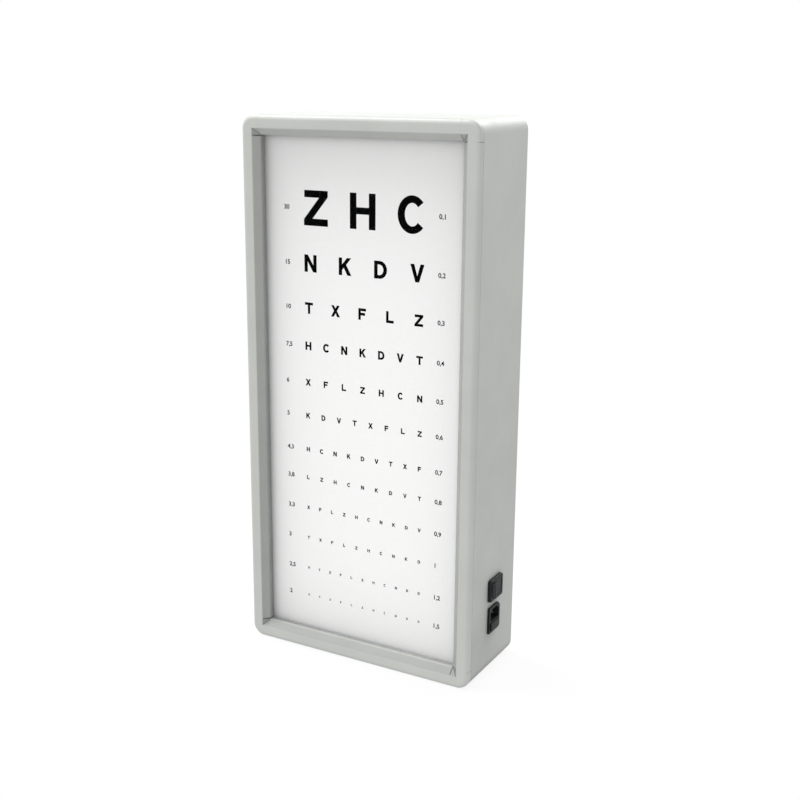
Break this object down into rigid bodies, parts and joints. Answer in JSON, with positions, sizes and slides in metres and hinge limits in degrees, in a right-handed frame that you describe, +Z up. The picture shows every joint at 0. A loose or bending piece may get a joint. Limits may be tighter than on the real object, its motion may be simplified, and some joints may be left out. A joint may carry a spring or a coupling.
{
  "type": "eye chart light box",
  "caption": "Tall wall or table light box with rounded corners, a hinged snap frame over a backlit eye-test chart, and a rocker switch above a mains inlet on one side.",
  "frame": {"origin": "middle of the base, on the surface that the box stands on", "axes": "+Z up, -Y out of the chart's face, +X to the side with the switch and inlet"},
  "size_m": [0.3367, 0.132, 0.7],
  "materials": {
    "rail_paint": "light warm-grey satin paint on extruded aluminium",
    "case_paint": "light warm-grey fine-textured paint on sheet metal",
    "panel_paint": "light grey paint on sheet metal",
    "corner_plastic": "moulded plastic in the rails' light grey",
    "grey_rubber": "grey soft rubber, matt",
    "mill_aluminium": "plain extruded aluminium",
    "zinc_steel": "bright zinc-plated steel",
    "clear_sheet": "clear anti-glare sheet",
    "chart_film": "white translucent film, matt",
    "opal_sheet": "opal white sheet",
    "white_paint": "white reflector paint on sheet metal",
    "lamp_glass": "glass tube with a white phosphor coat",
    "cap_aluminium": "pressed aluminium cap",
    "brass": "plain brass",
    "nickel_plate": "dull nickel plate on the inlet's pins",
    "white_plastic": "white moulded plastic",
    "ballast_paint": "pale steel case",
    "cream_plastic": "cream moulded plastic",
    "black_plastic": "black moulded plastic, satin",
    "fuse_ceramic": "white ceramic",
    "brown_wire": "brown insulation",
    "blue_wire": "blue insulation",
    "green_wire": "green and yellow insulation",
    "grey_wire": "grey sheath"
  },
  "bodies": {
    "light_box": {"base_rail_left": "mill_aluminium", "base_rail_right": "mill_aluminium", "base_rail_top": "mill_aluminium", "base_rail_bottom": "mill_aluminium", "corner_top_left": "corner_plastic", "corner_top_right": "corner_plastic", "corner_bottom_left": "corner_plastic", "corner_bottom_right": "corner_plastic", "corner_brackets": "zinc_steel", "corner_screws": "zinc_steel", "snap_springs": "zinc_steel", "housing": "case_paint", "back_panel": "panel_paint", "back_panel_screws": "zinc_steel", "tray_screws": "zinc_steel", "clear_cover": "clear_sheet", "chart_sheet": "chart_film", "diffuser": "opal_sheet", "gear_tray": "white_paint", "lampholder_left_low": "white_plastic", "lampholder_left_high": "white_plastic", "lampholder_right_low": "white_plastic", "lampholder_right_high": "white_plastic", "ballast": "ballast_paint", "ballast_screws": "zinc_steel", "terminal_block": "cream_plastic", "grommet": "grey_rubber", "earth_stud": "brass", "switch_body": "black_plastic", "switch_tabs": "brass", "inlet_body": "black_plastic", "inlet_pins": "nickel_plate", "live_lead": "brown_wire", "neutral_lead": "blue_wire", "earth_lead": "green_wire", "lamp_leads": "grey_wire"},
    "rail_left": {"snap_rail_left": "rail_paint", "pressing_strip_left": "grey_rubber"},
    "rail_right": {"snap_rail_right": "rail_paint", "pressing_strip_right": "grey_rubber"},
    "rail_top": {"snap_rail_top": "rail_paint", "pressing_strip_top": "grey_rubber"},
    "rail_bottom": {"snap_rail_bottom": "rail_paint", "pressing_strip_bottom": "grey_rubber"},
    "rocker": {"rocker": "black_plastic"},
    "fuse_tray": {"fuse_drawer": "black_plastic", "fuses": "fuse_ceramic"},
    "lamp_left": {"lamp_left_glass": "lamp_glass", "lamp_left_caps": "cap_aluminium", "lamp_left_pins": "brass", "lamp_left_rotors": "white_plastic"},
    "lamp_right": {"lamp_right_glass": "lamp_glass", "lamp_right_caps": "cap_aluminium", "lamp_right_pins": "brass", "lamp_right_rotors": "white_plastic"}
  },
  "joints": [
    {"name": "rail_left_hinge", "type": "hinge", "parent": "light_box", "child": "rail_left", "pos_m": [-0.158, -0.06, 0.35], "axis": [0, 0, -1], "range_deg": [0, 75]},
    {"name": "rail_right_hinge", "type": "hinge", "parent": "light_box", "child": "rail_right", "pos_m": [0.158, -0.06, 0.35], "axis": [0, 0, 1], "range_deg": [0, 75]},
    {"name": "rail_top_hinge", "type": "hinge", "parent": "light_box", "child": "rail_top", "pos_m": [0, -0.06, 0.694], "axis": [-1, 0, 0], "range_deg": [0, 75]},
    {"name": "rail_bottom_hinge", "type": "hinge", "parent": "light_box", "child": "rail_bottom", "pos_m": [0, -0.06, 0.006], "axis": [1, 0, 0], "range_deg": [0, 75]},
    {"name": "rocker_pivot", "type": "hinge", "parent": "light_box", "child": "rocker", "pos_m": [0.1651, 0.0054, 0.1152], "axis": [0, 0, -1], "range_deg": [0, 22]},
    {"name": "fuse_tray_slide", "type": "slide", "parent": "light_box", "child": "fuse_tray", "axis": [1, 0, 0], "range_m": [0, 0.02]},
    {"name": "lamp_left_twist", "type": "hinge", "parent": "light_box", "child": "lamp_left", "pos_m": [-0.075, 0.009, 0.35], "axis": [0, 0, 1], "range_deg": [0, 90]},
    {"name": "lamp_right_twist", "type": "hinge", "parent": "light_box", "child": "lamp_right", "pos_m": [0.075, 0.009, 0.35], "axis": [0, 0, 1], "range_deg": [0, 90]}
  ]
}
